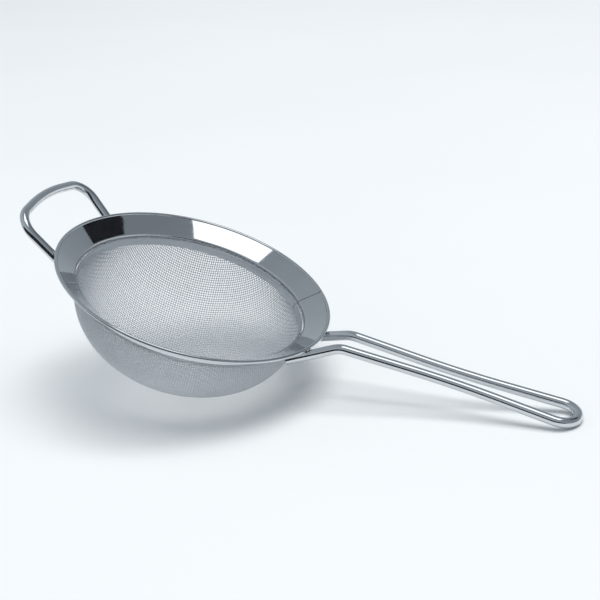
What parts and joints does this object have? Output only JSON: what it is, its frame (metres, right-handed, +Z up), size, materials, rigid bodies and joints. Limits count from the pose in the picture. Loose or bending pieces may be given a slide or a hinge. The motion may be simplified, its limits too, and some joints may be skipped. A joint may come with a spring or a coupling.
{
  "type": "tea strainer",
  "caption": "Fine-mesh tea strainer: round woven bowl in a flared steel rim, with a hairpin wire handle and a wire rest loop.",
  "frame": {"origin": "centre of the footprint, on the surface that the strainer lies on", "axes": "+X towards the tip of the handle, +Y across the rim, +Z up; the strainer lies at rest on the bottom of its bowl and the tip of its handle"},
  "size_m": [0.1956, 0.1, 0.0708],
  "materials": {
    "rim_steel": "mirror polished",
    "ring_steel": "bright rolled",
    "wire_cloth": "bright drawn wire cloth",
    "wire_steel": "polished",
    "weld_steel": "satin, lightly dressed"
  },
  "bodies": {
    "root": {"rim_band": "rim_steel", "rim_seam_weld": "weld_steel", "mesh_bowl": "wire_cloth", "mesh_retaining_ring": "ring_steel", "handle": "wire_steel", "rest_loop": "wire_steel", "handle_welds": "weld_steel", "rest_loop_welds": "weld_steel"}
  },
  "joints": []
}
